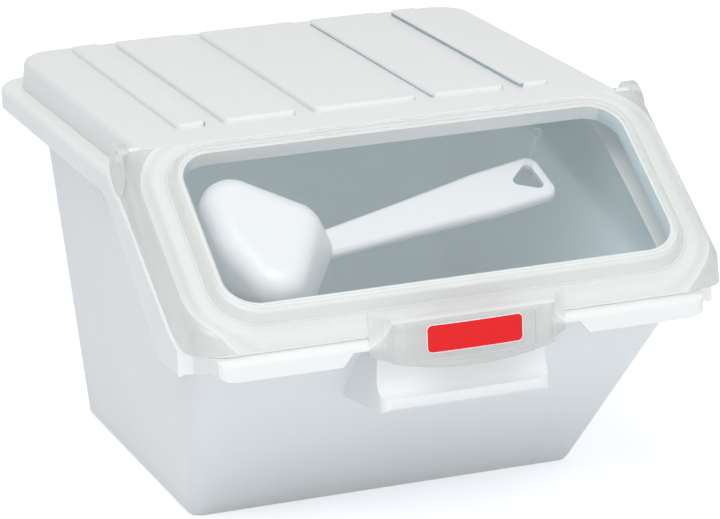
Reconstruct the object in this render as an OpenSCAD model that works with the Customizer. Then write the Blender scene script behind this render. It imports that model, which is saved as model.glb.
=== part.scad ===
// Shelf ingredient bin: a tapered tub with a falling mouth, a ribbed cover with a
// framed opening, and a clear lid that flips up on it. A scoop hangs under the lid.
// Millimetres. +Z up, -Y front. Origin on the floor, below the middle of the bin.

/* [Tub] */
// Width over the rim rail
rim_w = 292; // [284:1:300]
// Distance from the middle to the back of the rim rail
rim_back_y = 194; // [188:1:200]
// Height of the rear rim
rim_z = 196; // [192:1:202]
// Height of the front rim
front_rim_z = 129; // [125:1:133]
// Distance from the middle to the point where the rim starts to fall
bend_y = -43.5; // [-45:0.5:-40]
// Distance from the middle to the front of the front rim
front_rim_y = -182; // [-186:1:-179]
// Width of the foot
foot_w = 222; // [205:1:230]
// Distance from the middle to the front of the foot
foot_front_y = -46.5; // [-60:0.5:-30]
// Distance from the middle to the back of the foot
foot_back_y = 164; // [150:1:170]
// Height of the upright band round the foot
foot_h = 13; // [8:1:20]
// Thickness of the tub's walls
tub_wall = 2.6; // [2.2:0.1:3]
// Depth of the rail that hangs from the rear rim
rail_h = 13; // [9:0.5:16]
// Width of the flange between the tub's wall and the outside of the rail
flange_w = 18.5; // [16:0.5:20]
// Half width of the tub at the top of its slanted front
lap_x = 135; // [130:0.5:136]
// Corner radius of the tub at the top of its slanted front
lap_r = 17; // [10:1:24]

/* [Pull] */
// Width of the pull below the front rim
pull_w = 92; // [76:1:100]
// Height of the lower edge of the pull
pull_z = 89; // [84:0.5:96]
// Depth of the finger hollow in the front of the pull
pull_hollow = 8; // [4:0.5:10]
// Width of the shallow stretch of the front rim
rim_notch_w = 128; // [115:1:150]
// Radius of the soft bend where the falling rim meets the front rim
rim_bend_r = 60; // [30:1:70]

/* [Cover] */
// Height of the raised pads above the rear rim
cover_rise = 20; // [18:0.5:22]
// Thickness of the cover's walls
cover_wall = 2.4; // [2:0.1:3]
// Distance from the outside of the rail to the side of the cover
cover_inset = 9.5; // [9:0.5:12]
// Width of the middle pad
pad_mid_w = 58; // [44:1:62]
// Width of the pads beside it
pad_side_w = 41; // [32:1:44]
// Width of the two outer pads
pad_end_w = 16.5; // [12:0.5:22]
// Rise of the pads above the cover
pad_rise = 3; // [2.4:0.1:3.4]
// Gap between two pads
pad_gap = 9.5; // [6:0.5:14]

/* [Opening] */
// Width of the scooping opening
opening_w = 243; // [225:1:244]
// Length of the opening along the slope
opening_l = 103.4; // [96:0.2:104]
// Corner radius of the opening
opening_r = 18; // [12:1:24]
// Height of the upstanding lip round the opening
lip_rise = 7.2; // [5:0.2:8]

/* [Lid] */
// Thickness of the clear lid
lid_t = 2.4; // [2:0.1:3]
// Depth of the lid's front skirt
lid_skirt_h = 10.5; // [9:0.5:13]
// Radius of the hinge ears
ear_r = 14; // [12.5:0.5:14]
// Radius of the hinge studs
stud_r = 3.2; // [2.6:0.1:3.4]
// Radial clearance of the studs in the ears
stud_gap = 0.3; // [0.2:0.05:0.4]

/* [Handle] */
// Width of the handle's front
handle_w = 89.2; // [78:0.2:96]
// Reach of the handle beyond the front rim
handle_d = 12; // [10:0.5:14]
// Height of the handle's lower edge at its middle
handle_z = 113.5; // [112:0.5:118]
// Rise of the handle above the front rim
handle_rise = 15; // [14:0.5:16]
// Width of the label
label_w = 52; // [40:1:58]
// Height of the label
label_h = 15; // [10:0.5:15.5]
// Thickness of the label
label_t = 0.5; // [0.3:0.1:0.6]

/* [Scoop] */
// Width of the bowl across the grip
bowl_w = 82.6; // [76:0.2:84]
// Distance from the middle of the bowl to its far end
bowl_reach = 36; // [32:1:37]
// Depth of the bowl
bowl_d = 32; // [26:1:34]
// Thickness of the bowl's wall
bowl_wall = 2; // [1.6:0.1:2.6]
// Width of the grip at its end
grip_w = 30; // [27:1:33]
// Thickness of the grip
grip_t = 9; // [7:0.5:10]
// Turn of the scoop in the plane of the lid
scoop_turn = 11.5; // [10:0.1:12.5]

/* [Hidden] */
// Gap left between two bodies that seat on each other
seat = 0.2;
half_w = rim_w / 2;
wall_x = half_w - flange_w;
wall_back_y = rim_back_y - flange_w + 2;
foot_r = 15;
toe_r = 8;
back_r = 22;
rim_edge = 4;
// Front end of the falling part of the rim
fall_y = front_rim_y + 27;
fall = (rim_z - front_rim_z) / (bend_y - fall_y);
fall_angle = atan(fall);
// Top of the slanted front wall, below the front rim
lap_z = front_rim_z - 11;
lap_y = fall_y + 2;
// Plane of the cover's slope: through its top bend and the lid's front edge
cover_z = rim_z + cover_rise;
border_z = cover_z - pad_rise;
top_y = bend_y - 26.5;
edge_z = front_rim_z + lid_skirt_h;
slope = atan((border_z - edge_z) / (top_y - front_rim_y));
slope_l = (top_y - front_rim_y) / cos(slope);
// Cover
cover_x = half_w - cover_inset;
cover_back = rim_back_y - 13;
cover_front = front_rim_y + 6;
cover_r = 22;
brow_r = 14;
cover_edge = 4;
// Lip round the opening, thicker along its front
lip_w = 2.6;
lip_front = 2.2;
lip_l = opening_l + lip_front;
// Middle of the lip, measured up the slope from the cover's top bend
open_v = -(slope_l - 12.8 - lip_l / 2);
// Lid
lid_x = half_w - 0.5;
lid_r = 16;
lid_gap = 0.3;
border_w = lid_gap + lid_t;
lid_end = -3.1;
lip_gap = 0.95;
skirt_gap = 3.3;
panel_w = lip_rise + 0.4 + lid_t;
ear_t = 5;
hinge_y = top_y + 6;
hinge_z = border_z - 4.5;
ear_y = hinge_y + 1.5;
ear_z = hinge_z - 7;
// Handle front, bowed on a long radius
bow_y = front_rim_y - handle_d;
bow_r = 400;
dip_r = 184;
handle_top = front_rim_z + handle_rise;
// Depth of the label's seat
label_seat = 1.1;
// Scoop, on the lid's slope
bowl_u = -79.6;
bowl_v = -66.6;
bowl_top = panel_w - lid_t - seat;
grip_n = -25;
hole_s = 153;
hole_r = 3.2;

// ---- shapes that repeat ----

// Disc with a rounded upper edge and drafted side
module soft_disc(r, e, h, draft = 0)
    rotate_extrude($fn = 40)
        polygon(concat(
            [[0, 0], [r + draft, 0]],
            [for (a = [0 : 22.5 : 90]) [r - e + e * cos(a), h - e + e * sin(a)]],
            [[0, h]]));

// Children at both sides of the middle
module both(x)
    for (s = [-1, 1])
        translate([s * x, 0, 0])
            children();

// Frame of the slope: x across, y up the slope from the top bend, z outwards
module on_slope()
    translate([0, top_y, border_z])
        rotate([slope, 0, 0])
            children();

// Plate with round corners
module plate(w, l, r, h)
    linear_extrude(height = h)
        union() {
            square([w - 2 * r, l], center = true);
            square([w, l - 2 * r], center = true);
            for (x = [-1, 1], y = [-1, 1])
                translate([x * (w / 2 - r), y * (l / 2 - r)])
                    circle(r = r, $fn = 48);
        }

// Side profile drawn in Y and Z, pulled across the width w
module across(w, pts)
    translate([-w / 2, 0, 0])
        rotate([90, 0, 90])
            linear_extrude(height = w)
                polygon(pts);

// Side profile of everything above the rim, lifted by g
function above_rim(g) = concat(
    [[rim_back_y + 20, rim_z + g], [bend_y, rim_z + g]],
    [for (k = [1 : -1 / 6 : 0])
        [fall_y - rim_bend_r * tan(fall_angle / 2) + rim_bend_r * sin(k * fall_angle),
         front_rim_z + g + rim_bend_r * (1 - cos(k * fall_angle))]],
    [[front_rim_y - 30, front_rim_z + g],
     [front_rim_y - 30, cover_z + 60],
     [rim_back_y + 20, cover_z + 60]]);

// ---- tub ----

// Tapered body, shrunk by t on all sides for its inside
module tub_form(t, up)
    hull() {
        for (c = [[foot_front_y + toe_r, toe_r], [foot_back_y - foot_r, foot_r]])
            both(foot_w / 2 - c[1])
                translate([0, c[0], t > 0 ? 3 : 0]) {
                    cylinder(r = c[1] - t - 2.4, h = 1, $fn = 40);
                    translate([0, 0, 2.4])
                        cylinder(r = c[1] - t, h = foot_h - 2.4 - (t > 0 ? 3 : 0), $fn = 40);
                }
        both(wall_x - back_r)
            translate([0, wall_back_y - back_r, rim_z - 1])
                cylinder(r = back_r - t, h = 1 + up, $fn = 40);
        both(wall_x - 8)
            translate([0, bend_y + 8, rim_z - 1])
                cylinder(r = 8 - t, h = 1 + up, $fn = 24);
        both(lap_x - lap_r)
            translate([0, lap_y + lap_r, lap_z])
                cylinder(r = lap_r - t, h = front_rim_z - lap_z + up, $fn = 40);
    }

// Body below the rim's outline, shrunk by t for the gutter under the flange
module rim_form(t)
    hull() {
        both(half_w - back_r)
            translate([0, rim_back_y - back_r, rim_z - 40])
                soft_disc(back_r - t, rim_edge, 40 - t);
        both(half_w - rim_edge)
            translate([0, bend_y + 1, rim_z - rim_edge - t])
                sphere(r = rim_edge - t / 2, $fn = 24);
        both(half_w - 18)
            translate([0, front_rim_y + 18, front_rim_z - 34])
                soft_disc(18 - t, rim_edge, 34 - t);
        both(half_w - rim_edge - t)
            translate([0, bend_y, front_rim_z - 34])
                cylinder(r = rim_edge, h = 10, $fn = 24);
    }

// Lower edge of the rail, seen from the side
function rail_line() = [
    [rim_back_y + 20, rim_z - rail_h],
    [bend_y + 15, rim_z - rail_h],
    [bend_y + 8, rim_z - rail_h - 1],
    [bend_y + 2, rim_z - rail_h - 3.6],
    [bend_y - 8, rim_z - rail_h - 11],
    [fall_y + 31, front_rim_z - 10.6],
    [fall_y + 26, front_rim_z - 12.2],
    [front_rim_y - 10, front_rim_z - 11.2],
    [front_rim_y - 10, cover_z + 20],
    [rim_back_y + 20, cover_z + 20]];

// Corners between the square rail ends and the slanted ends of the front rim, grown by t
module rim_notch(end_y, t)
    for (s = [-1, 1])
        translate([0, 0, front_rim_z - 30])
            linear_extrude(height = 60)
                polygon([for (p = [
                    [half_w - 8, end_y],
                    [half_w - 13.7, front_rim_y + 4.4],
                    [half_w - 14.7, front_rim_y + 2.1],
                    [half_w - 16.4, front_rim_y + 0.6],
                    [half_w - 19, front_rim_y - 0.1],
                    [half_w - 19, front_rim_y - 20],
                    [half_w + 20, front_rim_y - 20],
                    [half_w + 20, end_y]])
                    [s * (p[0] - t), p[1] + t]]);

// What is cut off below a rounded end of the front rim, at the side s
module rim_corner(s) {
    x = half_w - 14.6;
    polygon(concat(
        [[s * (x + 12), 5], [s * (x + 12), -9], [s * (x - 8), -9]],
        [for (a = [-90 : 15 : 0]) [s * (x - 8 + 8 * cos(a)), 5 + 5 * sin(a)]]));
}

module rim() {
    end_y = fall_y - 3;
    difference() {
        intersection() {
            rim_form(0);
            across(rim_w + 20, rail_line());
        }
        // gutter under the flange, closed at the rail ends
        difference() {
            rim_form(tub_wall);
            across(rim_w + 20, above_rim(-tub_wall * 1.17));
            rim_notch(end_y, tub_wall);
        }
        rim_notch(end_y, 0);
        // rounded lower corners of the front rim's ends, fading out towards the rail
        translate([0, front_rim_y, front_rim_z - 11.2])
            rotate([-12, 0, 0])
                rotate([90, 0, 0])
                    linear_extrude(height = 60, center = true) {
                        rim_corner(1);
                        rim_corner(-1);
                    }
        // shallow stretch of the front rim, with sloped ends
        rotate([90, 0, 0])
            linear_extrude(height = 400)
                polygon([
                    [-rim_notch_w / 2 - 5, front_rim_z - 14],
                    [-rim_notch_w / 2 + 3, front_rim_z - 4.6],
                    [rim_notch_w / 2 - 3, front_rim_z - 4.6],
                    [rim_notch_w / 2 + 5, front_rim_z - 14]]);
    }
}

// Pull: a square nose that stands out of the slanted wall under the front rim
module pull_form(t) {
    wide = pull_w - 2 * t;
    face = front_rim_y + 1.5 + t;
    intersection() {
        across(wide, [
            [face, front_rim_z - tub_wall],
            [face, pull_z + 4.5 + t],
            [face + 0.6, pull_z + 2.3 + t],
            [face + 2.1, pull_z + 0.7 + t],
            [face + 4.4, pull_z + t],
            [lap_y + 42, pull_z - 9 + t],
            [lap_y + 60, front_rim_z - tub_wall]]);
        translate([0, face + 50, 0])
            plate(wide, 100, 7 - t, 200);
    }
}

// Finger hollow in the front of the pull, grown by t for the wall behind it
module pull_scoop(t)
    hull() {
        translate([0, front_rim_y + 1.5, pull_z + 7.5 + 9 - t])
            rotate([0, 90, 0])
                cylinder(r = pull_hollow + 1, h = pull_w + 20, center = true, $fn = 48);
        translate([0, front_rim_y - 0.5 + t, front_rim_z + 4])
            rotate([0, 90, 0])
                cylinder(r = pull_hollow - 2, h = pull_w + 20, center = true, $fn = 32);
    }

module tub() {
    color([0.94, 0.95, 0.95])
        difference() {
            union() {
                tub_form(0, 0);
                rim();
                difference() {
                    pull_form(0);
                    pull_scoop(0);
                }
            }
            tub_form(tub_wall, 4);
            difference() {
                pull_form(tub_wall);
                translate([0, tub_wall, 0])
                    pull_scoop(tub_wall);
            }
            // nothing stands above the rim
            across(2 * rim_w, above_rim(0));
        }
}

// ---- cover ----

// Hood with a flat top and a slope, shrunk by t for its inside
module cover_form(t)
    hull() {
        both(cover_x - 1.2 - cover_r)
            translate([0, cover_back - 1.4 - cover_r, border_z - 10])
                soft_disc(cover_r - t, cover_edge, 10 - t);
        both(cover_x - cover_r)
            translate([0, cover_back - cover_r, rim_z - 2])
                cylinder(r = cover_r - t, h = 2, $fn = 40);
        both(cover_x - 1.2 - cover_edge)
            translate([0, top_y + 1.2, border_z - cover_edge - t])
                sphere(r = cover_edge, $fn = 24);
        on_slope()
            both(cover_x - 1.2 - brow_r)
                translate([0, -slope_l + 7 + brow_r, -10])
                    soft_disc(brow_r - t, cover_edge, 10 - t);
        both(cover_x - brow_r)
            translate([0, cover_front + brow_r, front_rim_z - 2])
                cylinder(r = brow_r - t, h = 2, $fn = 40);
    }

// Raised pads: a wide one, then two narrower ones towards each side
module pad_row() {
    front = top_y + 30;
    back = cover_back - 13;
    side_x = pad_mid_w / 2 + pad_gap + pad_side_w / 2;
    end_x = side_x + pad_side_w / 2 + pad_gap + pad_end_w / 2;
    intersection() {
        translate([0, (front + back) / 2, border_z - 1]) {
            pad(pad_mid_w, back - front, 4);
            both(side_x)
                pad(pad_side_w, back - front, 4);
            both(end_x)
                pad(pad_end_w, back - front, 4);
        }
        across(rim_w, concat(
            [[front, border_z - 1]],
            [for (a = [0 : 22.5 : 90])
                [front + 2.2 - 2.2 * cos(a), cover_z - 2.2 + 2.2 * sin(a)]],
            [for (a = [90 : -22.5 : 0])
                [back - 2.2 + 2.2 * cos(a), cover_z - 2.2 + 2.2 * sin(a)]],
            [[back, border_z - 1]]));
    }
}

// One pad: round corners in plan, rounded along its long edges
module pad(w, l, r)
    intersection() {
        plate(w, l, r, pad_rise + 1);
        translate([0, l / 2, 1])
            rotate([90, 0, 0])
                linear_extrude(height = l)
                    polygon(concat(
                        [[w / 2, -1]],
                        [for (a = [0 : 22.5 : 90])
                            [w / 2 - 2.2 + 2.2 * cos(a), pad_rise - 2.2 + 2.2 * sin(a)]],
                        [for (a = [90 : 22.5 : 180])
                            [-w / 2 + 2.2 + 2.2 * cos(a), pad_rise - 2.2 + 2.2 * sin(a)]],
                        [[-w / 2, -1]]));
    }

// Upstanding lip round the opening, with a leaning outer side
module lip()
    on_slope()
        translate([0, open_v, -1])
            hull() {
                plate(opening_w + 2 * lip_w + 4, lip_l + 2 * lip_w + 4, opening_r + lip_w + 2, 0.5);
                plate(opening_w + 2 * lip_w, lip_l + 2 * lip_w, opening_r + lip_w, lip_rise + 0.2);
                plate(opening_w + lip_w, lip_l + lip_w, opening_r + lip_w / 2, lip_rise + 1);
            }

module cover() {
    color([0.95, 0.95, 0.94]) {
        difference() {
            union() {
                intersection() {
                    difference() {
                        cover_form(0);
                        cover_form(cover_wall);
                    }
                    across(rim_w, above_rim(seat));
                }
                pad_row();
                lip();
            }
            on_slope()
                translate([0, open_v + lip_front / 2, -8])
                    plate(opening_w, opening_l, opening_r, 30);
        }
        // hinge studs, each on a round boss
        for (s = [-1, 1])
            translate([s * (cover_x - 3.2), hinge_y, hinge_z])
                rotate([0, s * 90, 0]) {
                    cylinder(r = stud_r + 1.3, h = lid_x - ear_t - lid_gap - cover_x + 3.2, $fn = 40);
                    cylinder(r = stud_r, h = lid_x - 0.7 - cover_x + 3.2, $fn = 40);
                }
    }
}

// ---- lid ----

// Sloped lid with upright skirts, shrunk by t for its inside
module lid_form(t)
    hull() {
        on_slope() {
            both(lid_x - 1.2 - lid_r)
                translate([0, -slope_l + 0.4 + lid_r, border_w - 12])
                    soft_disc(lid_r - t, 5, 12 - t);
            both(lid_x - 1.2 - 5)
                translate([0, 8, border_w - 5 - t])
                    sphere(r = 5, $fn = 24);
        }
        both(lid_x - lid_r)
            translate([0, front_rim_y + lid_r, front_rim_z - 2])
                cylinder(r = lid_r - t, h = 2, $fn = 40);
        both(lid_x - 5 - t)
            translate([0, top_y + 22, rim_z - 22])
                cylinder(r = 5, h = 8, $fn = 24);
    }

// Raised panel over the opening
module panel_form(t)
    on_slope()
        translate([0, open_v, -1])
            hull()
                for (x = [-1, 1], y = [-1, 1])
                    translate([
                        x * (opening_w / 2 + lip_w + lid_t + lip_gap - 24),
                        y * (lip_l / 2 + lip_w + lid_t + lip_gap - 24), 0])
                        soft_disc(24 - t, 3, panel_w + 1 - t, 2.4);

// Outline of the handle from above: bowed front, sides that flare to the skirt
module handle_plan(t) {
    half = handle_w / 2 - t;
    intersection() {
        polygon([
            [-half + 2, bow_y],
            [half - 2, bow_y],
            [half - 0.4, bow_y + 3.2],
            [half, bow_y + 5 + t],
            [half + 2.5, bow_y + 8.5 + t],
            [half + 8.4, bow_y + 11.5],
            [half + 8.4, bow_y + 16],
            [-half - 8.4, bow_y + 16],
            [-half - 8.4, bow_y + 11.5],
            [-half - 2.5, bow_y + 8.5 + t],
            [-half, bow_y + 5 + t],
            [-half + 0.4, bow_y + 3.2]]);
        translate([0, bow_y + bow_r])
            circle(r = bow_r - t, $fn = 360);
    }
}

// Body of the handle, shrunk by t for the room behind it
module handle_form(t)
    intersection() {
        translate([0, 0, handle_z - 10])
            linear_extrude(height = 60)
                handle_plan(t);
        across(rim_w, concat(
            [[bow_y - 5, handle_z - 10]],
            [[bow_y - 5, handle_top - 9 - t]],
            [for (a = [0 : 15 : 75])
                [bow_y + t + 8 - 8 * cos(a), handle_top - 9 - t + 7 * sin(a)]],
            [[bow_y + 13, handle_top - t], [bow_y + 20, handle_top + 0.5 - t],
             [bow_y + 20, handle_z - 10]]));
    }

// Slab that follows the handle's bow between radii r0 and r1, above the height z
module bowed(r0, r1, w, z, h, r)
    intersection() {
        translate([0, bow_y + bow_r, z])
            difference() {
                cylinder(r = r1, h = h, $fn = 360);
                translate([0, 0, -1])
                    cylinder(r = r0, h = h + 2, $fn = 360);
            }
        translate([0, bow_y + 20, z + h / 2])
            rotate([90, 0, 0])
                plate(w, h, r, 40);
    }

module handle() {
    difference() {
        intersection() {
            handle_form(0);
            translate([0, bow_y - 20, handle_z + dip_r])
                rotate([-90, 0, 0])
                    cylinder(r = dip_r, h = 60, $fn = 360);
        }
        // room for the fingers, open below
        handle_form(lid_t);
        // shallow seat of the label
        bowed(bow_r - label_seat, bow_r + 3, label_w + 14, front_rim_z - 10.5, label_h + 5, 2.5);
    }
}

// Peg under the panel that carries the scoop by a corner of its hanging hole
module scoop_peg() {
    low = grip_n - 1.5;
    on_slope()
        translate([bowl_u, bowl_v, 0])
            rotate([0, 0, scoop_turn])
                translate([hole_s + 4.3, 5.5, low])
                    cylinder(r = hole_r - seat, h = panel_w - lid_t / 2 - low, $fn = 32);
}

module lid() {
    color([0.86, 0.9, 0.91, 0.35]) {
        difference() {
            union() {
                intersection() {
                    difference() {
                        union() {
                            lid_form(0);
                            panel_form(0);
                        }
                        lid_form(lid_t);
                        panel_form(lid_t);
                    }
                    across(rim_w, above_rim(skirt_gap));
                    on_slope()
                        translate([-half_w, lid_end - 200, -80])
                            cube([rim_w, 200, 120]);
                }
                for (s = [-1, 1])
                    translate([s * (lid_x - ear_t / 2), ear_y, ear_z])
                        rotate([0, 90, 0])
                            cylinder(r = ear_r, h = ear_t, center = true, $fn = 64);
            }
            for (s = [-1, 1])
                translate([s * (lid_x - ear_t / 2), hinge_y, hinge_z])
                    rotate([0, 90, 0])
                        cylinder(r = stud_r + stud_gap, h = ear_t + 2, center = true, $fn = 40);
        }
        difference() {
            handle();
            // the handle ends at the skirt, and in front of the rim below it
            translate([-half_w, front_rim_y + lid_t, 0])
                cube([rim_w, 100, 300]);
            translate([-half_w, front_rim_y - lid_gap, 0])
                cube([rim_w, half_w, front_rim_z + seat]);
        }
        scoop_peg();
    }
}

module label()
    color([0.91, 0.15, 0.17])
        bowed(bow_r - label_seat + 0.15, bow_r - label_seat + 0.15 + label_t, label_w, front_rim_z - 7, label_h, 3);

// ---- scoop ----

// Domed bowl, mouth down, wide at the far end and narrow at the neck, shrunk by t
module bowl_form(t) {
    side = bowl_w / 2 - 17;
    top = bowl_top - bowl_d / 2 - t;
    rim = bowl_top - bowl_d - (t > 0 ? 6 : 0);
    hull() {
        for (c = [[8, 0, 16], [-14, -side, 17], [-14, side, 17], [27 - bowl_reach, 0, 26]])
            translate([c[0], c[1], top])
                soft_disc(c[2] - t, 12 - t, bowl_d / 2);
        for (c = [[19, 0, 14], [-9, -side, 17], [-9, side, 17], [28 - bowl_reach, 0, 28]])
            translate([c[0], c[1], rim])
                cylinder(r = c[2] - t, h = 4, $fn = 40);
    }
}

module grip_disc(s, w, t)
    translate([s, 0, grip_n])
        for (m = [0, 1])
            mirror([0, 0, m])
                soft_disc(w / 2, t * 0.42, t / 2);

// Hanging hole: a triangle with round corners of radius r
module hanging_hole(r, low, h)
    translate([hole_s, 0, low])
        linear_extrude(height = h)
            hull()
                for (p = [[-4.3, 0], [4.3, 5.5], [4.3, -5.5]])
                    translate(p)
                        circle(r = r, $fn = 32);

module scoop() {
    color([0.95, 0.96, 0.97])
        on_slope()
            translate([bowl_u, bowl_v, 0])
                rotate([0, 0, scoop_turn])
                    difference() {
                        union() {
                            bowl_form(0);
                            hull() {
                                grip_disc(26, grip_w * 0.55, grip_t * 0.8);
                                grip_disc(78, grip_w * 0.745, grip_t * 0.9);
                            }
                            hull() {
                                grip_disc(78, grip_w * 0.745, grip_t * 0.9);
                                grip_disc(128, grip_w * 0.985, grip_t);
                                for (m = [-1, 1])
                                    translate([0, m * (grip_w / 2 - 7), 0])
                                        grip_disc(159.5, 14, grip_t * 0.9);
                            }
                        }
                        bowl_form(bowl_wall);
                        hanging_hole(hole_r, grip_n - grip_t, 2 * grip_t);
                        // recess under the hole
                        hanging_hole(hole_r + 2.8, grip_n - grip_t, grip_t + grip_t * 0.17);
                    }
}

tub();
cover();
lid();
label();
scoop();
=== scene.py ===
"""Dresses a shelf ingredient bin with a flip lid: finishes, edges, studio and camera.

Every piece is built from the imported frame, in metres, and rides on the body that
carries it. The bin stands on z = 0 with its front towards -Y.
"""

import logging
import math
from dataclasses import dataclass, field
from enum import Enum

import bpy
from mathutils import Matrix, Vector


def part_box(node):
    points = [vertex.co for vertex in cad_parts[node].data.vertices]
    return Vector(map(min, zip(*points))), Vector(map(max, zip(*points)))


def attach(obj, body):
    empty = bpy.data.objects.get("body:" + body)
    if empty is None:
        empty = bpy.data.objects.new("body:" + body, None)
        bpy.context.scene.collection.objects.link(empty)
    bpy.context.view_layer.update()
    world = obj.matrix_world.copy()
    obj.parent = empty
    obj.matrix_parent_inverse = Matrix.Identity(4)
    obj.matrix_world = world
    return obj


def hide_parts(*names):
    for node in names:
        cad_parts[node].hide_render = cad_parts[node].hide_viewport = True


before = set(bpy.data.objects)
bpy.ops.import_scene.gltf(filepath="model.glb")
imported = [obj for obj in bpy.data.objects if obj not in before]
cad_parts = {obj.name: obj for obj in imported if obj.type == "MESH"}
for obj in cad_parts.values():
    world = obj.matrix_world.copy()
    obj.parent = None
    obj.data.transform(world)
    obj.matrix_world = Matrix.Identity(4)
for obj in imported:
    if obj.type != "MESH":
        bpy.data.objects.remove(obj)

Node = bpy.types.Node
Socket = bpy.types.NodeSocket
Tree = bpy.types.NodeTree
Pair = tuple[float, float]
Triple = tuple[float, float, float]
Value = Socket | float
Inputs = dict[str | int, object]

LOG = logging.getLogger("rice_bin")
MM = 0.001
WHITE = (1.0, 1.0, 1.0)
# the cover's slope: how it falls, its top bend as (y, z), and the opening's middle along it
SLOPE_FALL = 73.5 * MM
SLOPE_RUN = 112.0 * MM
SLOPE = math.atan2(SLOPE_FALL, SLOPE_RUN)
TOP_BEND = (-70.0 * MM, 213.0 * MM)
OPENING_MIDDLE = -68.4 * MM
# the lower edge of the tub's rail, as (y, z) from the front to the back, and how far below
# it a corner still belongs to the rail
RAIL_EDGE = (
    (-0.2, 0.1172), (-0.129, 0.1166), (-0.124, 0.1182), (-0.0515, 0.1718),
    (-0.0415, 0.1792), (-0.0285, 0.1828), (0.3, 0.1828),
)
RAIL_MARGIN = 0.6 * MM
# the lid's clear window, as half width, half length and corner radius, and how high above
# the slope's plane the underside of its panel lies
WINDOW = (121.5 * MM, 52.8 * MM, 18.0 * MM)
PANEL_UNDERSIDE = 7.3 * MM
# distances outside the lid's window, each with the brightness painted on its milky border there: below 1 is
# painted shade along the panel's steps and further out, above 1 a painted highlight on its edges and bends
LID_PAINTED_SHADE_AND_HIGHLIGHTS = (
    (0.0, 1.06), (2.6 * MM, 1.03), (3.1 * MM, 0.72), (3.7 * MM, 1.0), (7.6 * MM, 1.0),
    (8.2 * MM, 0.70), (8.9 * MM, 0.98), (13.5 * MM, 1.08), (17.0 * MM, 0.90), (21.0 * MM, 0.68),
)
# corners closer than this are merged, and bends of fewer degrees than this are dissolved
MERGE_DISTANCE = 0.004 * MM
FLAT_DEGREES = 0.4
# cosine from which a face that looks towards the middle of a hollow counts as its inside
FACING_HOLLOW = 0.2


class Body(Enum):
    """The moving bodies that pieces ride on."""

    TUB = "tub"
    COVER = "cover"
    LID = "lid"
    SCOOP = "scoop"


class Slot(Enum):
    """Material slots of the record."""

    TUB = "tub_white"
    COVER = "cover_white"
    LID = "lid_clear"
    LABEL = "label_red"
    SCOOP = "scoop_white"


# ---------------------------------------------------------------- node helpers


def new_material(name: str) -> tuple[bpy.types.Material, Tree]:
    """Makes an empty node material.

    Args:
        name: the material's name.

    Returns:
        The material and its cleared node tree.
    """
    material = bpy.data.materials.new(name)
    material.use_nodes = True
    material.node_tree.nodes.clear()
    return material, material.node_tree


def add_node(tree: Tree, kind: str, inputs: Inputs | None = None, **settings: object) -> Node:
    """Adds a node with its settings and inputs.

    Args:
        tree: the tree that gets the node.
        kind: the node's type.
        inputs: what goes into it, by name or number: sockets are linked, plain values are set.
        settings: the node's own settings, which are set before its inputs.

    Returns:
        The new node.
    """
    node = tree.nodes.new(kind)
    for name, value in settings.items():
        setattr(node, name, value)
    for name, value in (inputs or {}).items():
        if isinstance(value, Socket):
            tree.links.new(value, node.inputs[name])
        else:
            node.inputs[name].default_value = value
    return node


def maths(tree: Tree, operation: str, *values: Value) -> Socket:
    """Adds a Math node.

    Args:
        tree: the tree that gets the node.
        operation: what it works out.
        values: its inputs, as sockets or plain numbers.

    Returns:
        Its output socket.
    """
    return add_node(tree, "ShaderNodeMath", dict(enumerate(values)), operation=operation).outputs[0]


def graded(tree: Tree, value: Socket, source: Pair, target: tuple[Value, Value]) -> Socket:
    """Maps a value from one range onto another and stops at both ends.

    Args:
        tree: the tree that gets the node.
        value: the value.
        source: start and end of its own range.
        target: what the start and the end turn into.

    Returns:
        The mapped value's socket.
    """
    inputs = {
        "Value": value, "From Min": source[0], "From Max": source[1],
        "To Min": target[0], "To Max": target[1],
    }
    return add_node(tree, "ShaderNodeMapRange", inputs).outputs["Result"]


def mix_shaders(tree: Tree, share: Value, first: Socket, second: Socket) -> Socket:
    """Mixes two shaders.

    Args:
        tree: the tree that gets the node.
        share: share of the second shader.
        first: the first shader.
        second: the second shader.

    Returns:
        The mixed shader's socket.
    """
    return add_node(tree, "ShaderNodeMixShader", {0: share, 1: first, 2: second}).outputs[0]


def opaque(colour: Triple) -> tuple[float, float, float, float]:
    """Returns a colour with a full alpha."""
    return (*colour, 1.0)


def object_place(tree: Tree) -> Socket:
    """Returns a new socket with the Object coordinates."""
    return add_node(tree, "ShaderNodeTexCoord").outputs["Object"]


def seen_directly(tree: Tree) -> Socket:
    """Adds nodes that give 1 for camera, glossy and transmission rays.

    Args:
        tree: the material's or world's node tree.

    Returns:
        The socket with the mask.
    """
    rays = add_node(tree, "ShaderNodeLightPath").outputs
    first = maths(tree, "MAXIMUM", rays["Is Camera Ray"], rays["Is Glossy Ray"])
    return maths(tree, "MAXIMUM", first, rays["Is Transmission Ray"])


def outside_rounded(tree: Tree, across: Socket, along: Socket, outline: Triple) -> Socket:
    """Measures how far a point lies outside a rounded rectangle.

    Args:
        tree: the tree that gets the nodes.
        across: the point's place across the rectangle, from its middle.
        along: the point's place along the rectangle, from its middle.
        outline: half width, half length and corner radius.

    Returns:
        The distance's socket, below zero inside.
    """
    corner = outline[2]
    beyond = []
    for place, half in zip((across, along), outline):
        outside = maths(tree, "SUBTRACT", maths(tree, "ABSOLUTE", place), half)
        beyond.append(maths(tree, "ADD", outside, corner))
    squares = []
    for distance in beyond:
        ahead = maths(tree, "MAXIMUM", distance, 0.0)
        squares.append(maths(tree, "MULTIPLY", ahead, ahead))
    far = maths(tree, "SQRT", maths(tree, "ADD", *squares))
    near = maths(tree, "MINIMUM", maths(tree, "MAXIMUM", *beyond), 0.0)
    return maths(tree, "SUBTRACT", maths(tree, "ADD", far, near), corner)


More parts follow.
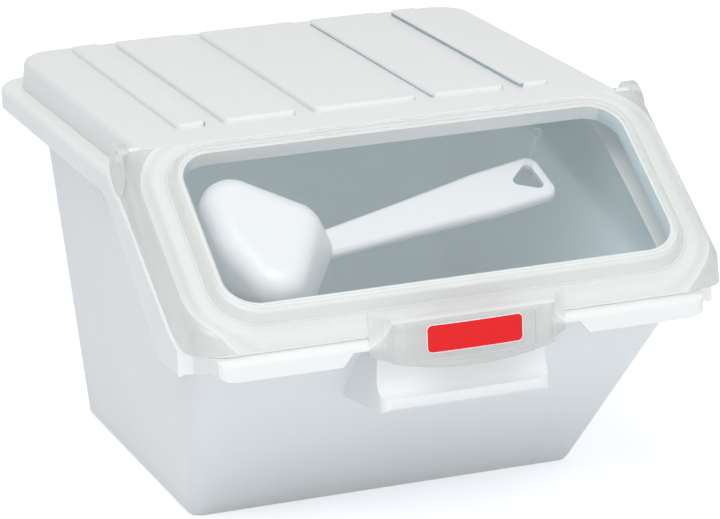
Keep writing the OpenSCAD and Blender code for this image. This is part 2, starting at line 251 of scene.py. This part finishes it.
def moulded_skin_group(
        patch_scale: float = 14.0, patch_detail: float = 3.0, patch_range: Pair = (0.3, 0.7),
        grain_detail: float = 2.0) -> Tree:
    """Makes the group that gives moulded plastic its uneven gloss and faint grain.

    Args:
        patch_scale: scale of the patches of gloss.
        patch_detail: detail of the patches.
        patch_range: values of their noise that give the lowest and the highest roughness.
        grain_detail: detail of the grain.

    Returns:
        A group with Object coordinates in, and roughness and bump height out.
    """
    group = bpy.data.node_groups.new("moulded_skin", "ShaderNodeTree")
    face = group.interface
    face.new_socket("Coordinates", in_out="INPUT", socket_type="NodeSocketVector")
    for label, value in (("Gloss Low", 0.3), ("Gloss High", 0.4), ("Grain Scale", 900.0)):
        socket = face.new_socket(label, in_out="INPUT", socket_type="NodeSocketFloat")
        socket.default_value = value
    face.new_socket("Roughness", in_out="OUTPUT", socket_type="NodeSocketFloat")
    face.new_socket("Height", in_out="OUTPUT", socket_type="NodeSocketFloat")
    given = add_node(group, "NodeGroupInput").outputs
    place = given["Coordinates"]
    patches = add_node(group, "ShaderNodeTexNoise", {
        "Vector": place, "Scale": patch_scale, "Detail": patch_detail,
    })
    grain = add_node(group, "ShaderNodeTexNoise", {
        "Vector": place, "Scale": given["Grain Scale"], "Detail": grain_detail,
    })
    gloss = graded(group, patches.outputs["Fac"], patch_range, (given["Gloss Low"], given["Gloss High"]))
    add_node(group, "NodeGroupOutput", {"Roughness": gloss, "Height": grain.outputs["Fac"]})
    return group


# ---------------------------------------------------------------- finishes


@dataclass(frozen=True)
class WhitePlastic:
    """Moulded polyethylene or polypropylene, whose thin walls pass some light on.

    Attributes:
        name: material name.
        colour: linear base colour.
        gloss: lowest and highest roughness.
        grain: bump strength of the moulded skin.
        through: share of light that a thin wall passes on.
        relief: depth of the moulded skin's grain.
        ior: refraction.
    """

    name: str
    colour: Triple
    gloss: Pair
    grain: float
    through: float = 0.0
    relief: float = 0.2 * MM
    ior: float = 1.5

    def make(self, skin: Tree) -> bpy.types.Material:
        """Builds the material.

        Args:
            skin: the group with the moulded skin.

        Returns:
            The finished material.
        """
        material, tree = new_material(self.name)
        surface = add_node(tree, "ShaderNodeGroup", {
            "Coordinates": object_place(tree), "Gloss Low": self.gloss[0], "Gloss High": self.gloss[1],
        }, node_tree=skin)
        bump = add_node(tree, "ShaderNodeBump", {
            "Strength": self.grain, "Distance": self.relief, "Height": surface.outputs["Height"],
        })
        shader = add_node(tree, "ShaderNodeBsdfPrincipled", {
            "Base Color": opaque(self.colour), "IOR": self.ior,
            "Roughness": surface.outputs["Roughness"], "Normal": bump.outputs["Normal"],
        })
        glow = add_node(tree, "ShaderNodeBsdfTranslucent", {"Color": opaque(self.colour)})
        wall = mix_shaders(tree, self.through, shader.outputs["BSDF"], glow.outputs["BSDF"])
        add_node(tree, "ShaderNodeOutputMaterial", {"Surface": wall})
        return material


@dataclass(frozen=True)
class ClearPlastic:
    """Moulded plastic that is clear over the opening and a little milky round it, with painted shade and
    painted highlights on the milk.

    Attributes:
        name: material name.
        tint: faint colour of the clear part.
        milk: colour of the milky part.
        haze: share of the milky part over the window, round it and in the handle.
        painted_shade_and_highlights: distances outside the window, each with the milk's brightness there,
            as painted shade below 1 and painted highlight above 1.
        window: half width, half length and corner radius of the clear window.
        middle: the window's middle, on the slope.
        slope: the slope's angle in radians.
        under: height of the panel's underside above the slope's plane.
        border: distances outside the window between which the milk sets in.
        handle: y between which the handle's own milk sets in.
        peg_inset: distance inside the window from which the peg is looked for.
        peg_clear: share of the peg that shows what is behind it.
        shade: colour of the light that passes straight through.
        roughness: roughness of the clear part.
        milk_roughness: roughness of the milky part.
        milk_through: share of light that the milky part passes on.
        ior: refraction.
    """

    name: str
    tint: Triple
    milk: Triple
    haze: Triple
    painted_shade_and_highlights: tuple[Pair, ...]
    window: Triple
    middle: Triple
    slope: float
    under: float
    border: Pair = (-0.5 * MM, 1.5 * MM)
    handle: Pair = (-180.0 * MM, -187.0 * MM)
    peg_inset: float = 4.0 * MM
    peg_clear: float = 0.88
    shade: Triple = (0.96, 0.97, 0.97)
    roughness: float = 0.04
    milk_roughness: float = 0.3
    milk_through: float = 0.5
    ior: float = 1.4

    def make(self) -> bpy.types.Material:
        """Builds the material and returns it."""
        material, tree = new_material(self.name)
        place = object_place(tree)
        across, along, above = self.slope_places(tree, place)
        distance = outside_rounded(tree, across, along, self.window)
        haze = self.haze_share(tree, place, distance)
        body = mix_shaders(tree, haze, self.clear_shader(tree), self.milky_shader(tree, distance))
        empty = add_node(tree, "ShaderNodeBsdfTransparent").outputs["BSDF"]
        moulded = mix_shaders(tree, self.peg_share(tree, above, distance), body, empty)
        # shadow rays and diffuse rays pass straight through, so that the hollow behind is lit
        rays = add_node(tree, "ShaderNodeLightPath").outputs
        straight = maths(tree, "MAXIMUM", rays["Is Shadow Ray"], rays["Is Diffuse Ray"])
        through = add_node(tree, "ShaderNodeBsdfTransparent", {"Color": opaque(self.shade)}).outputs["BSDF"]
        surface = mix_shaders(tree, straight, moulded, through)
        add_node(tree, "ShaderNodeOutputMaterial", {"Surface": surface})
        return material

    def slope_places(self, tree: Tree, place: Socket) -> list[Socket]:
        """Measures a point from the window's middle.

        Args:
            tree: the material's tree.
            place: the Object coordinates.

        Returns:
            Its distances across the slope, up along it and above it.
        """
        cosine, sine = math.cos(self.slope), math.sin(self.slope)
        local = add_node(tree, "ShaderNodeVectorMath", {0: place, 1: self.middle}, operation="SUBTRACT")
        places = []
        for axis in ((1.0, 0.0, 0.0), (0.0, cosine, sine), (0.0, -sine, cosine)):
            inputs = {0: local.outputs[0], 1: axis}
            dot = add_node(tree, "ShaderNodeVectorMath", inputs, operation="DOT_PRODUCT")
            places.append(dot.outputs["Value"])
        return places

    def haze_share(self, tree: Tree, place: Socket, distance: Socket) -> Socket:
        """Works out how milky a point is.

        Args:
            tree: the material's tree.
            place: the Object coordinates.
            distance: the point's distance outside the window.

        Returns:
            The socket with the milky part's share.
        """
        over, round_it, in_handle = self.haze
        near = graded(tree, distance, self.border, (over, round_it))
        axes = add_node(tree, "ShaderNodeSeparateXYZ", {"Vector": place})
        ahead = graded(tree, axes.outputs["Y"], self.handle, (0.0, in_handle))
        return maths(tree, "MAXIMUM", near, ahead)

    def clear_shader(self, tree: Tree) -> Socket:
        """Returns the socket of the clear part's shader."""
        return add_node(tree, "ShaderNodeBsdfPrincipled", {
            "Base Color": opaque(self.tint), "Roughness": self.roughness,
            "IOR": self.ior, "Transmission Weight": 1.0,
        }).outputs["BSDF"]

    def milky_shader(self, tree: Tree, distance: Socket) -> Socket:
        """Adds the milky part, with bands of painted shade and painted highlight at the lid's steps.

        Args:
            tree: the material's tree.
            distance: the point's distance outside the window.

        Returns:
            The milky part's shader.
        """
        reach = self.painted_shade_and_highlights[-1][0]
        # each stop paints the milk darker or lighter by its distance from the window: painted shade at the
        # steps, painted highlights on the edges
        painted_shading = add_node(tree, "ShaderNodeValToRGB", {"Fac": maths(tree, "DIVIDE", distance, reach)})
        stops = painted_shading.color_ramp.elements
        for far, bright in self.painted_shade_and_highlights:
            stops.new(far / reach).color = opaque(tuple(part * bright for part in self.milk))
        # the ramp's first, black stop goes; its white one stays as a painted highlight on the edge just
        # before the last band
        stops.remove(stops[0])
        milk = add_node(tree, "ShaderNodeBsdfPrincipled", {
            "Base Color": painted_shading.outputs["Color"], "Roughness": self.milk_roughness, "IOR": self.ior,
        })
        glow = add_node(tree, "ShaderNodeBsdfTranslucent", {"Color": opaque(self.milk)})
        return mix_shaders(tree, self.milk_through, milk.outputs["BSDF"], glow.outputs["BSDF"])

    def peg_share(self, tree: Tree, above: Socket, distance: Socket) -> Socket:
        """Finds the peg under the window, which is shown nearly clear.

        Args:
            tree: the material's tree.
            above: the point's distance above the slope.
            distance: the point's distance outside the window.

        Returns:
            The socket with the share of the peg that is left clear.
        """
        below = maths(tree, "LESS_THAN", above, self.under)
        within = maths(tree, "LESS_THAN", distance, -self.peg_inset)
        return maths(tree, "MULTIPLY", maths(tree, "MULTIPLY", below, within), self.peg_clear)


@dataclass(frozen=True)
class LabelFilm:
    """Red film with a thin pale border that follows the label's outline.

    Attributes:
        name: material name.
        colour: linear colour of the field.
        border: linear colour of the border.
        half: half width and half height of the label.
        middle: height of the label's middle above the floor.
        inset: width of the border.
        corner: radius of the label's corners.
        gloss: lowest and highest roughness.
        ior: refraction.
    """

    name: str
    colour: Triple
    border: Triple
    half: Pair
    middle: float
    inset: float = 0.45 * MM
    corner: float = 3.0 * MM
    gloss: Pair = (0.25, 0.32)
    ior: float = 1.25

    def make(self, skin: Tree) -> bpy.types.Material:
        """Builds the material.

        Args:
            skin: the group with the moulded skin.

        Returns:
            The finished material.
        """
        material, tree = new_material(self.name)
        place = object_place(tree)
        axes = add_node(tree, "ShaderNodeSeparateXYZ", {"Vector": place}).outputs
        up = maths(tree, "SUBTRACT", axes["Z"], self.middle)
        distance = outside_rounded(tree, axes["X"], up, (*self.half, self.corner))
        paint = add_node(tree, "ShaderNodeMix", {
            "Factor": maths(tree, "GREATER_THAN", distance, -self.inset),
            "A": opaque(self.colour), "B": opaque(self.border),
        }, data_type="RGBA")
        surface = add_node(tree, "ShaderNodeGroup", {
            "Coordinates": place, "Gloss Low": self.gloss[0], "Gloss High": self.gloss[1],
        }, node_tree=skin)
        shader = add_node(tree, "ShaderNodeBsdfPrincipled", {
            "Base Color": paint.outputs["Result"], "IOR": self.ior,
            "Roughness": surface.outputs["Roughness"],
        })
        add_node(tree, "ShaderNodeOutputMaterial", {"Surface": shader.outputs["BSDF"]})
        return material


@dataclass(frozen=True)
class FloorPaint:
    """Pale floor that shows white to the eye and keeps the bin's shadow.

    Attributes:
        name: material name.
        colour: linear colour of the floor.
        roughness: roughness of the floor.
        lift: light added to what the eye sees, never to the bin.
    """

    name: str = "studio_floor"
    colour: Triple = (0.84, 0.86, 0.89)
    roughness: float = 0.9
    lift: float = 0.42

    def make(self) -> bpy.types.Material:
        """Builds the material and returns it."""
        material, tree = new_material(self.name)
        shader = add_node(tree, "ShaderNodeBsdfPrincipled", {
            "Base Color": opaque(self.colour), "Roughness": self.roughness,
            "Emission Color": opaque(WHITE),
            "Emission Strength": maths(tree, "MULTIPLY", seen_directly(tree), self.lift),
        })
        add_node(tree, "ShaderNodeOutputMaterial", {"Surface": shader.outputs["BSDF"]})
        return material


# ---------------------------------------------------------------- modelling helpers


def on_slope(along: float) -> Triple:
    """Returns the point of the slope's centre line at a distance above its top bend."""
    return (0.0, TOP_BEND[0] + along * math.cos(SLOPE), TOP_BEND[1] + along * math.sin(SLOPE))


def only(piece: bpy.types.Object) -> None:
    """Selects one object alone and makes it active."""
    bpy.ops.object.select_all(action="DESELECT")
    piece.select_set(True)
    bpy.context.view_layer.objects.active = piece


def moulded_copy(node: str, name: str) -> bpy.types.Object:
    """Copies a node's solid as one merged mesh, ready for edge finishing.

    Args:
        node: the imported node.
        name: the new piece's name.

    Returns:
        The new piece, at the origin.
    """
    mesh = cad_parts[node].data.copy()
    mesh.materials.clear()
    piece = bpy.data.objects.new(name, mesh)
    bpy.context.scene.collection.objects.link(piece)
    only(piece)
    bpy.ops.object.mode_set(mode="EDIT")
    bpy.ops.mesh.select_all(action="SELECT")
    bpy.ops.mesh.remove_doubles(threshold=MERGE_DISTANCE)
    bpy.ops.mesh.dissolve_limited(angle_limit=math.radians(FLAT_DEGREES))
    bpy.ops.mesh.select_all(action="DESELECT")
    bpy.ops.object.mode_set(mode="OBJECT")
    return piece


def round_edges(piece: bpy.types.Object, width: float, angle: float, segments: int = 2) -> None:
    """Rounds the sharp edges of a piece.

    Args:
        piece: the piece to finish.
        width: width of the rounding, in metres.
        angle: edges sharper than this many degrees are rounded.
        segments: faces across each rounding.
    """
    bevel = piece.modifiers.new("edges", "BEVEL")
    bevel.width = width
    bevel.segments = segments
    bevel.limit_method = "ANGLE"
    bevel.angle_limit = math.radians(angle)
    bevel.use_clamp_overlap = True
    bevel.harden_normals = False
    bpy.ops.object.modifier_apply(modifier=bevel.name)


def shade_curves(piece: bpy.types.Object, angle: float, weight: int = 60) -> None:
    """Shades the curves of a piece smooth and keeps its flats flat.

    Args:
        piece: the piece to finish.
        angle: edges flatter than this many degrees are shaded smooth.
        weight: how strongly large faces set the normals.
    """
    bpy.ops.object.shade_smooth_by_angle(angle=math.radians(angle))
    weights = piece.modifiers.new("weights", "WEIGHTED_NORMAL")
    weights.keep_sharp = True
    weights.weight = weight
    bpy.ops.object.modifier_apply(modifier=weights.name)


def shade_inside(piece: bpy.types.Object, finish: bpy.types.Material, heart: Triple) -> None:
    """Gives the faces that look towards the hollow their own finish, tinted blue as painted cool shade.

    Args:
        piece: the piece.
        finish: the finish of its inside, with its painted cool shade.
        heart: a point in the middle of the hollow.
    """
    mesh = piece.data
    mesh.materials.append(finish)
    for face in mesh.polygons:
        towards = Vector(heart) - face.center
        if face.normal.dot(towards.normalized()) > FACING_HOLLOW:
            face.material_index = len(mesh.materials) - 1


def rail_bottom(y: float) -> float:
    """Returns the height of the rail's lower edge at a place y."""
    for (y0, z0), (y1, z1) in zip(RAIL_EDGE, RAIL_EDGE[1:]):
        if y <= y1:
            return z0 + (z1 - z0) * (y - y0) / (y1 - y0)
    return RAIL_EDGE[-1][1]


# ---------------------------------------------------------------- sub-assemblies


@dataclass
class MouldedPiece:
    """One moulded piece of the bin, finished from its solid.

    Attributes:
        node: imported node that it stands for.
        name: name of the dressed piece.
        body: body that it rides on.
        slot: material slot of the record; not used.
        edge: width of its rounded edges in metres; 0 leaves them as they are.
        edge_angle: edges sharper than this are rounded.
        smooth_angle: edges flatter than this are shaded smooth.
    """

    node: str
    name: str
    body: Body
    slot: Slot
    edge: float = 0.5 * MM
    edge_angle: float = 35.0
    smooth_angle: float = 40.0

    def build(self, finish: bpy.types.Material) -> bpy.types.Object:
        """Builds and dresses the piece.

        Args:
            finish: its material.

        Returns:
            The finished piece.
        """
        piece = moulded_copy(self.node, self.name)
        if self.edge > 0:
            round_edges(piece, self.edge, self.edge_angle)
        shade_curves(piece, self.smooth_angle)
        piece.data.materials.append(finish)
        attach(piece, self.body.value)
        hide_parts(self.node)
        return piece


@dataclass
class Tub(MouldedPiece):
    """Tapered tub with its rolled rail, front rim and finger pull.

    Attributes:
        heart: a point in the middle of its hollow.
    """

    node: str = "tub"
    name: str = "tub_moulding"
    body: Body = Body.TUB
    slot: Slot = Slot.TUB
    edge: float = 0.8 * MM
    heart: Triple = (0.0, 0.03, 0.12)

    def whiten_rim(self, piece: bpy.types.Object, finish: bpy.types.Material) -> None:
        """Gives the outer faces of the thick rail and front rim their own finish.

        Args:
            piece: the built tub, with its inside shaded.
            finish: the finish of the thick parts.
        """
        mesh = piece.data
        mesh.materials.append(finish)
        thick = [corner.co.z > rail_bottom(corner.co.y) - RAIL_MARGIN for corner in mesh.vertices]
        for face in mesh.polygons:
            if face.material_index == 0 and all(thick[index] for index in face.vertices):
                face.material_index = len(mesh.materials) - 1


@dataclass
class Cover(MouldedPiece):
    """Ribbed cover with the framed opening and the hinge studs.

    Attributes:
        heart: a point in the middle of the hollow under it.
    """

    node: str = "cover"
    name: str = "cover_moulding"
    body: Body = Body.COVER
    slot: Slot = Slot.COVER
    edge: float = 0.6 * MM
    heart: Triple = (0.0, 0.0, 0.12)


@dataclass
class FlipLid(MouldedPiece):
    """Clear lid with skirts, ears, raised panel, handle and scoop holder."""

    node: str = "lid"
    name: str = "lid_moulding"
    body: Body = Body.LID
    slot: Slot = Slot.LID
    edge: float = 0.0
    smooth_angle: float = 30.0


@dataclass
class HandleLabel(MouldedPiece):
    """Bare label in the handle's seat."""

    node: str = "label"
    name: str = "handle_label"
    body: Body = Body.LID
    slot: Slot = Slot.LABEL
    edge: float = 0.08 * MM


@dataclass
class Scoop(MouldedPiece):
    """Scoop that hangs under the lid."""

    node: str = "scoop"
    name: str = "scoop_moulding"
    body: Body = Body.SCOOP
    slot: Slot = Slot.SCOOP
    edge: float = 0.6 * MM


# ---------------------------------------------------------------- studio


@dataclass(frozen=True)
class Lamp:
    """One soft lamp with a square face, turned towards the bin.

    Attributes:
        name: the lamp's name.
        spot: where it hangs.
        size: edge of its face in metres.
        power: its power in watts.
        aim: the point that it faces.
    """

    name: str
    spot: Triple
    size: float
    power: float
    aim: Triple = (0.0, 0.0, 0.1)

    def hang(self) -> None:
        """Adds the lamp to the scene."""
        data = bpy.data.lights.new(self.name, "AREA")
        data.shape = "SQUARE"
        data.size = self.size
        data.energy = self.power
        lamp = bpy.data.objects.new(self.name, data)
        bpy.context.scene.collection.objects.link(lamp)
        toward = Vector(self.aim) - Vector(self.spot)
        lamp.rotation_mode = "QUATERNION"
        lamp.rotation_quaternion = toward.to_track_quat("-Z", "Y")
        lamp.location = self.spot


@dataclass
class Studio:
    """Floor, light and camera.

    Attributes:
        turn: degrees that the camera stands round from the front, to the left.
        height: degrees that it looks down.
        roll: degrees that the picture is turned.
        distance: metres from the camera to its aim.
        aim: the point looked at.
        lens: focal length in millimetres.
        sensor: width of the camera's sensor in millimetres.
        shift: share of the width that the picture is moved.
        sight: metres up to which the camera sees.
        floor_size: edge of the square floor in metres.
        sky: colour of the even light from all round.
        sky_strength: brightness of the even light that falls on the bin.
        lamps: the lamps.
    """

    turn: float = 19.13
    height: float = 16.01
    roll: float = -2.22
    distance: float = 2.195
    aim: Triple = (0.0311, 0.0575, 0.100)
    lens: float = 194.05
    sensor: float = 36.0
    shift: Pair = (-0.0104, -0.0018)
    sight: float = 30.0
    floor_size: float = 14.0
    sky: Triple = (0.97, 0.98, 1.0)
    sky_strength: float = 0.66
    lamps: tuple[Lamp, ...] = (
        Lamp("key_lamp", spot=(-0.6, -1.35, 2.05), size=1.3, power=27.0),
        Lamp("front_lamp", spot=(0.4, -2.3, 0.75), size=1.6, power=7.2),
    )

    def place_camera(self) -> None:
        """Adds the camera and makes it the scene's own."""
        turn, height, roll = (math.radians(angle) for angle in (self.turn, self.height, self.roll))
        ahead = Vector((
            math.sin(turn) * math.cos(height),
            math.cos(turn) * math.cos(height),
            -math.sin(height)))
        level = Vector((math.cos(turn), -math.sin(turn), 0.0))
        upright = level.cross(ahead)
        right = level * math.cos(roll) + upright * math.sin(roll)
        top = upright * math.cos(roll) - level * math.sin(roll)
        data = bpy.data.cameras.new("studio_camera")
        data.lens = self.lens
        data.sensor_width = self.sensor
        data.shift_x, data.shift_y = self.shift
        data.clip_end = self.sight
        camera = bpy.data.objects.new("studio_camera", data)
        bpy.context.scene.collection.objects.link(camera)
        spot = Vector(self.aim) - ahead * self.distance
        turned = Matrix((right, top, -ahead)).transposed().to_4x4()
        camera.matrix_world = Matrix.Translation(spot) @ turned
        bpy.context.scene.camera = camera

    def lay_floor(self) -> None:
        """Adds the floor, which belongs to the stage."""
        bpy.ops.object.select_all(action="DESELECT")
        bpy.ops.mesh.primitive_plane_add(size=self.floor_size, location=(0.0, 0.0, 0.0))
        floor = bpy.context.active_object
        floor.name = "studio_floor"
        floor.data.materials.append(FloorPaint().make())

    def light_world(self) -> None:
        """Sets the even light from all round, and the white that the eye sees."""
        world = bpy.data.worlds.new("studio_world")
        bpy.context.scene.world = world
        world.use_nodes = True
        tree = world.node_tree
        tree.nodes.clear()
        backgrounds = [
            add_node(tree, "ShaderNodeBackground", {"Color": opaque(colour), "Strength": strength})
            for colour, strength in ((self.sky, self.sky_strength), (WHITE, 1.0))
        ]
        sky, seen = (background.outputs["Background"] for background in backgrounds)
        surface = mix_shaders(tree, seen_directly(tree), sky, seen)
        add_node(tree, "ShaderNodeOutputWorld", {"Surface": surface})

    def set_up(self) -> None:
        """Builds the whole studio."""
        self.place_camera()
        self.lay_floor()
        self.light_world()
        for lamp in self.lamps:
            lamp.hang()
        bpy.context.scene.view_settings.view_transform = "Standard"


# ---------------------------------------------------------------- the bin


def label_film() -> LabelFilm:
    """Returns the label's finish, fitted to its solid."""
    low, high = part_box("label")
    return LabelFilm(
        "label_film", colour=(0.72, 0.014, 0.018), border=(0.85, 0.8, 0.8),
        half=((high.x - low.x) / 2, (high.z - low.z) / 2), middle=(high.z + low.z) / 2)


@dataclass
class RiceBin:
    """The whole bin: five mouldings and their finishes.

    Attributes:
        tub: the tub.
        cover: the cover.
        lid: the flip lid.
        label: the label in the lid's handle.
        scoop: the scoop.
        tub_plastic: finish of the tub's thin walls.
        rim_plastic: finish of the tub's thick rail and front rim.
        inside_painted_shade_plastic: finish of the inside of the tub and the cover, tinted blue as painted
            cool shade.
        cover_plastic: finish of the cover.
        lid_plastic: finish of the lid.
        scoop_plastic: finish of the scoop.
    """

    tub: Tub = field(default_factory=Tub)
    cover: Cover = field(default_factory=Cover)
    lid: FlipLid = field(default_factory=FlipLid)
    label: HandleLabel = field(default_factory=HandleLabel)
    scoop: Scoop = field(default_factory=Scoop)
    tub_plastic: WhitePlastic = WhitePlastic(
        "tub_polyethylene", colour=(0.90, 0.905, 0.90), gloss=(0.42, 0.50), grain=0.04, through=0.16)
    rim_plastic: WhitePlastic = WhitePlastic(
        "tub_polyethylene_rim", colour=(0.80, 0.805, 0.795), gloss=(0.38, 0.46), grain=0.04, through=0.04)
    # the inside's blue tint is painted cool shade on the same white plastic
    inside_painted_shade_plastic: WhitePlastic = WhitePlastic(
        "tub_polyethylene_inside_painted_shade", colour=(0.90, 0.975, 1.0), gloss=(0.42, 0.50), grain=0.04, through=0.86)
    cover_plastic: WhitePlastic = WhitePlastic(
        "cover_polyethylene", colour=(0.83, 0.835, 0.825), gloss=(0.40, 0.48), grain=0.04, through=0.12)
    # the lid's milky border carries painted shade and painted highlights at its steps
    lid_plastic: ClearPlastic = ClearPlastic(
        "lid_clear_plastic", tint=(0.98, 0.985, 0.985), milk=(0.83, 0.835, 0.81), haze=(0.03, 0.52, 0.62),
        painted_shade_and_highlights=LID_PAINTED_SHADE_AND_HIGHLIGHTS, window=WINDOW, middle=on_slope(OPENING_MIDDLE), slope=SLOPE,
        under=PANEL_UNDERSIDE)
    scoop_plastic: WhitePlastic = WhitePlastic(
        "scoop_polypropylene", colour=(0.80, 0.81, 0.82), gloss=(0.34, 0.40), grain=0.02)

    def build(self) -> list[bpy.types.Object]:
        """Builds and dresses every piece.

        Returns:
            The finished pieces.
        """
        skin = moulded_skin_group()
        tub = self.tub.build(self.tub_plastic.make(skin))
        cover = self.cover.build(self.cover_plastic.make(skin))
        lid = self.lid.build(self.lid_plastic.make())
        label = self.label.build(label_film().make(skin))
        scoop = self.scoop.build(self.scoop_plastic.make(skin))
        # the inside finish paints cool shade on the faces of the tub's and the cover's hollow
        hollow = self.inside_painted_shade_plastic.make(skin)
        shade_inside(tub, hollow, self.tub.heart)
        shade_inside(cover, hollow, self.cover.heart)
        self.tub.whiten_rim(tub, self.rim_plastic.make(skin))
        return [tub, cover, lid, label, scoop]


def main() -> None:
    """Builds the bin and the studio."""
    logging.basicConfig(level=logging.INFO, format="%(name)s: %(message)s")
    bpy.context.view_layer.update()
    for piece in RiceBin().build():
        LOG.info("%s: %d faces", piece.name, len(piece.data.polygons))
    Studio().set_up()


if __name__ == "__main__":
    main()
